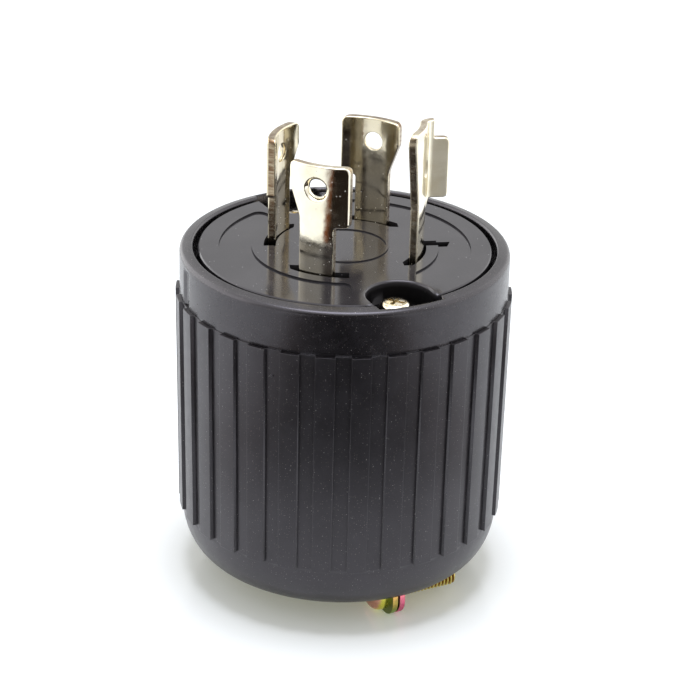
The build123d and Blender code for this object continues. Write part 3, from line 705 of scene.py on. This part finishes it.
def cleanPath(path):
    # Drops points that lie on top of the one before
    kept, spacing = [], pressing["spacing"]
    for point in path:
        if not kept or (Vector(point) - Vector(kept[-1])).length > spacing:
            kept.append(point)
    if (Vector(kept[0]) - Vector(kept[-1])).length <= spacing:
        kept.pop()
    return kept


def cutAcross(shape, place, normal):
    bmesh.ops.bisect_plane(shape, geom=shape.verts[:] + shape.edges[:] + shape.faces[:],
                           dist=pressing["near"], plane_co=place, plane_no=normal)


def pressedSheet(name, sizes, bend, plating):
    # Eases the outline's rim ring by ring, caps it, cuts it in strips and bends it
    shape = bmesh.new()
    across, height, radius = sizes["hole"]
    turns = [2 * pi * k / pressing["holePoints"] for k in range(pressing["holePoints"])]
    hole = [(across + radius * cos(t), height + radius * sin(t)) for t in turns]
    outline = cleanPath(roundedOutline(sizes["outline"]))
    thick, ease = sizes["thickness"], sizes["easing"]
    turns = [pi / 2 * k / pressing["easeSteps"] for k in range(pressing["easeSteps"] + 1)]
    levels = [(ease * (1 - sin(t)), ease * (1 - cos(t))) for t in turns]
    levels += [(inset, thick - depth) for inset, depth in reversed(levels)]
    caps = ([], [])
    for loop, isHole, rows in ((outline, False, levels), (hole, True, pressing["flare"])):
        rings = []
        for inset, depth in rows:
            rings.append([shape.verts.new((x, y, depth)) for x, y in insetLoop(loop, inset, isHole)])
        for lower, upper in zip(rings, rings[1:]):
            wall = not isHole and upper[0].co.z - lower[0].co.z > thick / 2
            for k in range(len(lower)):
                face = shape.faces.new((lower[k - 1], lower[k], upper[k], upper[k - 1]))
                face.material_index = 1 if wall else 2  # 2 sets the eased rim apart from the caps
        for side, ring in enumerate((rings[0], rings[-1])):
            caps[side].extend(shape.edges.get((ring[k - 1], ring[k])) for k in range(len(ring)))
    for rims in caps:
        bmesh.ops.triangle_fill(shape, edges=rims, use_beauty=True, use_dissolve=False)
    for place in sizes["cuts"]:
        cutAcross(shape, (place + pressing["cutShift"], 0, 0), (1, 0, 0))
    slanted = [edge for edge in shape.edges if len(edge.link_faces) == 2
               and all(face.material_index == 0 for face in edge.link_faces)
               and abs(edge.verts[0].co.x - edge.verts[1].co.x) > pressing["near"]]
    bmesh.ops.dissolve_edges(shape, edges=slanted, use_verts=False)
    for row in (sizes["shoulderBottom"] - sizes["tabFade"], sizes["shoulderBottom"]):
        cutAcross(shape, (0, row, 0), (0, 1, 0))
    for corner in shape.verts:
        corner.co = Vector(bend(*corner.co)) * mm
    bmesh.ops.recalc_face_normals(shape, faces=shape.faces[:])
    for face in shape.faces:
        face.material_index %= 2
        face.smooth = True
    mesh = bpy.data.meshes.new(name)
    shape.to_mesh(mesh)
    shape.free()
    mesh.materials.append(finishes[plating])
    mesh.materials.append(finishes["bladeAgedEdge" if plating == "bladeAged" else "bladeEdge"])
    rough = addPiece(name + "Rough", mesh)
    even = rough.modifiers.new("evenNormals", "WEIGHTED_NORMAL")
    even.keep_sharp = False
    even.weight = pressing["evenWeight"]
    done = rough.evaluated_get(bpy.context.evaluated_depsgraph_get())
    piece = addPiece(name, bpy.data.meshes.new_from_object(done))
    bpy.data.objects.remove(rough)
    return piece


def flatShare(height, sizes):
    # 1 on the flat terminal tab, 0 on the curved blade above it
    return min(1.0, max(0.0, (sizes["shoulderBottom"] - height) / sizes["tabFade"]))


def bendLineBlade(angle):
    def bend(across, height, depth):
        radius = lineBladeSizes["innerRadius"] + depth
        flat = flatShare(height, lineBladeSizes)
        out = sqrt(radius ** 2 - across ** 2) * (1 - flat) + radius * flat
        return (*turned(out, across, angle), height)
    return bend


def bendGroundBlade():
    # Above the face, the wide side folds outward round a small radius
    sizes = groundBladeSizes
    middle, tight, fold = sizes["middleRadius"], sizes["bendRadius"], radians(sizes["foldAngle"])
    pivotRadius = middle + tight
    pivotAngle = fold - asin(tight / pivotRadius)
    bendStart = middle * pivotAngle
    bendEnd = bendStart + tight * (pi / 2 - (fold - pivotAngle))
    flangeStart = sqrt(pivotRadius ** 2 - tight ** 2)

    def bend(along, height, depth):
        offset = depth - sizes["thickness"] / 2
        if height < sizes["foldAbove"] or along <= bendStart:
            radius = middle + offset
            x, y = radius * cos(along / middle), radius * sin(along / middle)
            if along < 0:
                y = middle * sin(along / middle)
                x = sqrt(radius ** 2 - y ** 2)
            flat = flatShare(height, sizes)
            x, y = x * (1 - flat) + radius * flat, y * (1 - flat) + along * flat
        elif along <= bendEnd:
            alpha = pi + pivotAngle - (along - bendStart) / tight
            reach = tight - offset
            x = pivotRadius * cos(pivotAngle) + reach * cos(alpha)
            y = pivotRadius * sin(pivotAngle) + reach * sin(alpha)
        else:
            x, y = turned(flangeStart + along - bendEnd, -offset, sizes["foldAngle"])
        return (*turned(x, y, sizes["angle"]), height)
    return bend


lineBlades = {"line_blade_x": (225.0, "blade"), "line_blade_y": (45.0, "bladeAged"),
              "neutral_blade": (135.0, "bladeAged")}
for nodeName, (angle, plating) in lineBlades.items():
    sheet = pressedSheet(nodeName + "Sheet", lineBladeSizes, bendLineBlade(angle), plating)
    settle(sheet, [nodeName])
groundBlade = pressedSheet("groundBladeSheet", groundBladeSizes, bendGroundBlade(), "bladeFolded")
settle(groundBlade, ["ground_blade"])
print("blades pressed")


class Grower:
    # Short words for building a Geometry Nodes tree
    def __init__(self, name, sizes):
        self.tree = bpy.data.node_groups.new(name, "GeometryNodeTree")
        face = self.tree.interface
        kinds = {float: "NodeSocketFloat", int: "NodeSocketInt", tuple: "NodeSocketVector"}
        for label, value in sizes.items():
            face.new_socket(label, in_out="INPUT", socket_type=kinds[type(value)])
        face.new_socket("Finish", in_out="INPUT", socket_type="NodeSocketMaterial")
        face.new_socket("Shape", in_out="OUTPUT", socket_type="NodeSocketGeometry")
        self.inputs = self.tree.nodes.new("NodeGroupInput").outputs
        self.end = self.tree.nodes.new("NodeGroupOutput")

    def add(self, kind, inputs=None, **settings):
        return addNode(self.tree, kind, inputs, **settings)

    def calc(self, operation, first, second=0.0):
        return maths(self.tree, operation, first, second)

    def plus(self, first, second):
        return self.calc("ADD", first, second)

    def minus(self, first, second):
        return self.calc("SUBTRACT", first, second)

    def times(self, first, second):
        return self.calc("MULTIPLY", first, second)

    def over(self, first, second):
        return self.calc("DIVIDE", first, second)

    def vector(self, x, y, z):
        return self.add("ShaderNodeCombineXYZ", {0: x, 1: y, 2: z}).outputs[0]

    def spot(self):
        place = self.add("GeometryNodeInputPosition").outputs[0]
        return self.add("ShaderNodeSeparateXYZ", {0: place}).outputs

    def mark(self, shape, label, value):
        inputs = {"Geometry": shape, "Name": label, "Value": value}
        return self.add("GeometryNodeStoreNamedAttribute", inputs, data_type="FLOAT",
                        domain="POINT").outputs[0]

    def put(self, shape, place, chosen=True):
        return self.add("GeometryNodeSetPosition",
                        {"Geometry": shape, "Selection": chosen, "Position": place}).outputs[0]

    def move(self, shape, **how):
        return self.add("GeometryNodeTransform", {"Geometry": shape, **how}).outputs[0]

    def join(self, shape, distance):
        return self.add("GeometryNodeMergeByDistance", {"Geometry": shape, "Distance": distance}).outputs[0]

    def finish(self, shape):
        whole = self.add("GeometryNodeRealizeInstances", {0: shape}).outputs[0]
        named = self.add("GeometryNodeSetMaterial", {"Geometry": whole, "Material": self.inputs["Finish"]})
        self.tree.links.new(named.outputs[0], self.end.inputs[0])
        return self.tree


screwDetail = {
    "columns": 49, "rowsPerTurn": 8.0, "spareRows": 40.0, "runOut": 0.8, "crestEnd": 0.12,
    "valleyStart": 0.9, "tipDepth": 1.3, "shankJoin": 2e-6, "headSides": 64, "headRows": 3,
    "headRings": 14, "rimShare": 0.9999, "headJoin": 1e-6, "recessTaper": 0.62,
}


def screwShank(g, size):
    # A sheet wound round the axis: its rows climb the thread, and those past the ends close it
    perTurn = screwDetail["rowsPerTurn"]
    rows = g.calc("CEIL", g.times(g.over(size["Length"], size["Pitch"]), perTurn))
    rows = g.plus(rows, screwDetail["spareRows"])
    sheet = g.add("GeometryNodeMeshGrid", {"Size X": 1.0, "Size Y": 1.0,
                  "Vertices X": screwDetail["columns"], "Vertices Y": rows}).outputs[0]
    spot = g.spot()
    turn = g.plus(spot["X"], 0.5)
    row = g.times(g.plus(spot["Y"], 0.5), g.minus(rows, 1.0))
    margin = g.times(size["Pitch"], screwDetail["runOut"])
    low = g.times(size["Length"], -1.0)
    start = g.minus(g.minus(low, margin), size["Pitch"])
    level = g.plus(start, g.times(row, g.over(size["Pitch"], perTurn)))
    level = g.plus(level, g.times(turn, size["Pitch"]))
    phase = g.calc("FRACT", g.over(row, perTurn))
    slope = g.times(g.calc("ABSOLUTE", g.minus(phase, 0.5)), 2.0)
    cut = remap(g.tree, slope, screwDetail["crestEnd"], screwDetail["valleyStart"])
    radius = g.minus(size["Radius"], g.times(cut, size["Thread Depth"]))
    rise = g.minus(level, low)
    blunt = g.minus(size["Radius"], g.times(size["Thread Depth"], screwDetail["tipDepth"]))
    radius = g.calc("MINIMUM", radius, g.plus(blunt, rise))
    past = g.calc("MAXIMUM", g.times(rise, -1.0), g.minus(level, size["Shank Top"]))
    share = g.minus(1.0, g.over(g.calc("MAXIMUM", past, 0.0), margin))
    radius = g.times(radius, g.calc("MAXIMUM", share, 0.0))
    height = g.calc("MINIMUM", g.calc("MAXIMUM", level, low), size["Shank Top"])
    angle = g.times(turn, 2 * pi)
    across, along = g.calc("COSINE", angle), g.calc("SINE", angle)
    place = g.vector(g.times(radius, across), g.times(radius, along), height)
    sheet = g.mark(g.mark(sheet, "threadDepth", cut), "onThread", 1.0)
    return g.join(g.put(sheet, place), screwDetail["shankJoin"])


def screwHead(g, size):
    # A drum whose top rings are spread and raised into a dome
    drum = g.add("GeometryNodeMeshCylinder", {
        "Vertices": screwDetail["headSides"], "Side Segments": screwDetail["headRows"],
        "Fill Segments": screwDetail["headRings"], "Radius": size["Head Radius"],
        "Depth": size["Head Height"]}, fill_type="NGON").outputs[0]
    spot = g.spot()
    square = g.plus(g.times(spot["X"], spot["X"]), g.times(spot["Y"], spot["Y"]))
    out = g.calc("SQRT", square)
    reach = g.over(out, size["Head Radius"])
    drum = g.mark(drum, "headReach", reach)
    top = g.times(size["Head Height"], 0.5)
    spread = g.times(size["Head Radius"], g.calc("SINE", g.times(reach, pi / 2)))
    scale = g.over(spread, g.calc("MAXIMUM", out, 1e-7))
    onTop = g.calc("GREATER_THAN", spot["Z"], g.minus(top, 1e-6))
    inset = g.calc("MAXIMUM", g.minus(spread, g.minus(size["Head Radius"], size["Head Round"])), 0.0)
    drop = g.minus(g.times(size["Head Round"], size["Head Round"]), g.times(inset, inset))
    drop = g.minus(size["Head Round"], g.calc("SQRT", g.calc("MAXIMUM", drop, 0.0)))
    sag = g.times(size["Crown"], g.calc("POWER", g.over(spread, size["Head Radius"]), 2.0))
    domed = g.vector(g.times(spot["X"], scale), g.times(spot["Y"], scale), g.minus(g.minus(top, drop), sag))
    head = g.put(drum, domed, onTop)
    # Its sides are pulled down under the rounding
    side = g.minus(top, g.plus(size["Head Round"], size["Crown"]))
    lowered = g.vector(spot["X"], spot["Y"], g.calc("MINIMUM", spot["Z"], side))
    rim = g.calc("POWER", g.times(size["Head Radius"], screwDetail["rimShare"]), 2.0)
    onSide = g.times(g.calc("GREATER_THAN", spot["Z"], side), g.calc("GREATER_THAN", square, rim))
    head = g.put(head, lowered, onSide)
    return g.join(g.move(head, Translation=g.vector(0.0, 0.0, top)), screwDetail["headJoin"])


def crossRecess(g, size, head):
    # Two tapered bars cut into the head
    cut = g.add("GeometryNodeMeshBoolean", operation="DIFFERENCE", solver="EXACT")
    g.tree.links.new(head, cut.inputs["Mesh 1"])
    scale = g.vector(g.times(size["Recess Reach"], sqrt(2)), g.times(size["Recess Width"], sqrt(2) / 2),
                     g.times(size["Recess Depth"], 2.0))
    middle = g.vector(0.0, 0.0, g.minus(size["Head Height"], size["Recess Depth"]))
    for turn in (0, pi / 2):
        bar = g.add("GeometryNodeMeshCone", {
            "Vertices": 4, "Side Segments": 1, "Depth": 1.0, "Radius Top": 1.0,
            "Radius Bottom": screwDetail["recessTaper"]}, fill_type="NGON").outputs[0]
        bar = g.move(g.move(bar, Rotation=(0, 0, pi / 4)), Translation=middle, Scale=scale)
        g.tree.links.new(g.move(bar, Rotation=(0, 0, turn)), cut.inputs["Mesh 2"])
    return cut.outputs[0]


def screwTree(name, sizes):
    # One screw, set at two places
    g = Grower(name, sizes)
    size = g.inputs
    whole = g.add("GeometryNodeJoinGeometry")
    for part in (screwShank(g, size), crossRecess(g, size, screwHead(g, size))):
        g.tree.links.new(part, whole.inputs[0])
    screw = g.move(whole.outputs[0], Rotation=size["Turn"])
    spacing = g.add("ShaderNodeVectorMath", {0: size["Second"], 1: size["First"]}, operation="SUBTRACT")
    line = g.add("GeometryNodeMeshLine", {"Count": 2, "Start Location": size["First"],
                 "Offset": spacing.outputs[0]}).outputs[0]
    both = g.add("GeometryNodeInstanceOnPoints", {"Points": line, "Instance": screw}).outputs[0]
    return g.finish(g.add("GeometryNodeSetShadeSmooth", {"Geometry": both}).outputs[0])


def grow(name, tree, sizes, finish):
    # Runs a tree on an empty mesh and keeps the result as a plain mesh
    seed = addPiece(name + "Seed", bpy.data.meshes.new(name + "Seed"))
    work = seed.modifiers.new("grow", "NODES")
    work.node_group = tree
    for item in tree.interface.items_tree:
        if item.item_type == "SOCKET" and item.in_out == "INPUT":
            work[item.identifier] = finish if item.name == "Finish" else sizes[item.name]
    done = seed.evaluated_get(bpy.context.evaluated_depsgraph_get())
    mesh = bpy.data.meshes.new_from_object(done)
    mesh.name = name
    seed.modifiers.remove(work)
    bpy.data.objects.remove(seed)
    mesh.set_sharp_from_angle(angle=sharpFrom)
    return addPiece(name, mesh)


clampSeats = {"turn": 2.0, "across": -1.25, "along": 19.6, "level": 3.6}


def clampSeat(side):
    across, along = turned(clampSeats["across"], side * clampSeats["along"], clampSeats["turn"])
    return (across * mm, along * mm, clampSeats["level"] * mm)


clampScrewSizes = {
    "Length": 14.55 * mm, "Pitch": 0.7 * mm, "Radius": 2.0 * mm, "Thread Depth": 0.40 * mm,
    "Shank Top": 0.4 * mm, "Head Radius": 3.5 * mm, "Head Height": 2.5 * mm, "Head Round": 1.75 * mm,
    "Crown": 0.15 * mm, "Recess Reach": 2.2 * mm, "Recess Width": 0.85 * mm, "Recess Depth": 1.2 * mm,
    "Turn": (0.0, -pi / 2, radians(clampSeats["turn"])), "First": clampSeat(-1), "Second": clampSeat(1),
}
faceScrewSizes = {
    "Length": 20.0 * mm, "Pitch": 0.6 * mm, "Radius": 1.75 * mm, "Thread Depth": 0.33 * mm,
    "Shank Top": 0.4 * mm, "Head Radius": 2.85 * mm, "Head Height": 2.0 * mm, "Head Round": 1.1 * mm,
    "Crown": 0.12 * mm, "Recess Reach": 1.9 * mm, "Recess Width": 0.85 * mm, "Recess Depth": 1.2 * mm,
    "Turn": (0.0, 0.0, radians(38)), "First": (0.0, -21.0 * mm, 58.3 * mm),
    "Second": (0.0, 21.0 * mm, 58.3 * mm),
}
settle(grow("clampScrewPair", screwTree("clampScrew", clampScrewSizes), clampScrewSizes,
            finishes["clampScrew"]), ["clamp_screws"])
settle(grow("assemblyScrewPair", screwTree("assemblyScrew", faceScrewSizes), faceScrewSizes,
            finishes["faceScrew"]), ["assembly_screws"])
print("screws grown")
